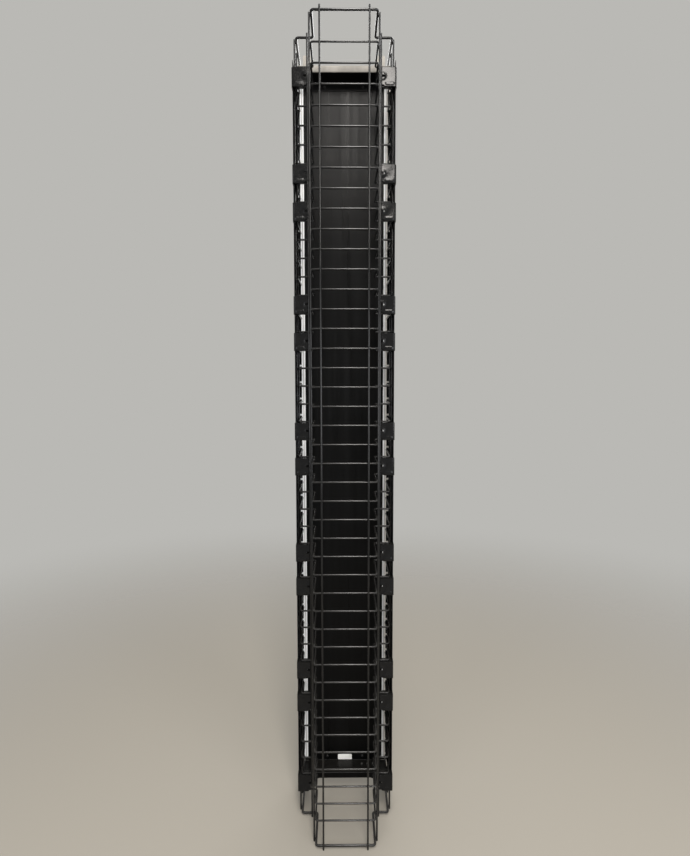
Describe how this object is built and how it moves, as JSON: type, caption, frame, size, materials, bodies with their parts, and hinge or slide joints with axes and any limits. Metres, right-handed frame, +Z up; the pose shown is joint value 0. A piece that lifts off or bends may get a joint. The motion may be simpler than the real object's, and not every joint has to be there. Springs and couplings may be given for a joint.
{
  "type": "vertical cable manager",
  "caption": "Tall wire cage with a narrow front, held by moulded clips on a shallow sheet steel trough, for routing cables beside a server rack.",
  "frame": {"origin": "on the floor under the middle of the part's box", "axes": "+Z up, the wire front faces -Y, the flat back panel faces +Y"},
  "size_m": [0.25, 0.2662, 1.9719],
  "materials": {
    "powder_coated_sheet": "satin black powder coat, fine texture",
    "powder_coated_wire": "satin black powder coat over welded wire",
    "moulded_clip": "black nylon with a fine moulded grain",
    "white_strip": "plain white extruded plastic",
    "rivet": "dark blackened steel",
    "label": "blank white paper label"
  },
  "bodies": {
    "trough": {"back_panel": "powder_coated_sheet", "left_side_wall": "powder_coated_sheet", "right_side_wall": "powder_coated_sheet", "top_end_plate": "powder_coated_sheet", "bottom_end_plate": "powder_coated_sheet", "left_marker_strip": "white_strip", "right_marker_strip": "white_strip", "panel_rivets": "rivet", "end_plate_rivets": "rivet", "bottom_plate_buttons": "rivet", "blank_label": "label"},
    "cage": {"wire_rungs": "powder_coated_wire", "top_hoop": "powder_coated_wire", "bottom_hoop": "powder_coated_wire", "left_front_wire": "powder_coated_wire", "right_front_wire": "powder_coated_wire", "left_side_wire": "powder_coated_wire", "right_side_wire": "powder_coated_wire", "left_shoulder_wire": "powder_coated_wire", "right_shoulder_wire": "powder_coated_wire", "left_outer_front_wire": "powder_coated_wire", "right_outer_front_wire": "powder_coated_wire", "left_outer_rear_wire": "powder_coated_wire", "right_outer_rear_wire": "powder_coated_wire", "left_clips": "moulded_clip", "right_clips": "moulded_clip"}
  },
  "joints": [
    {"name": "cage_pull", "type": "slide", "parent": "trough", "child": "cage", "axis": [0, -1, 0], "range_m": [0, 0.16]}
  ]
}
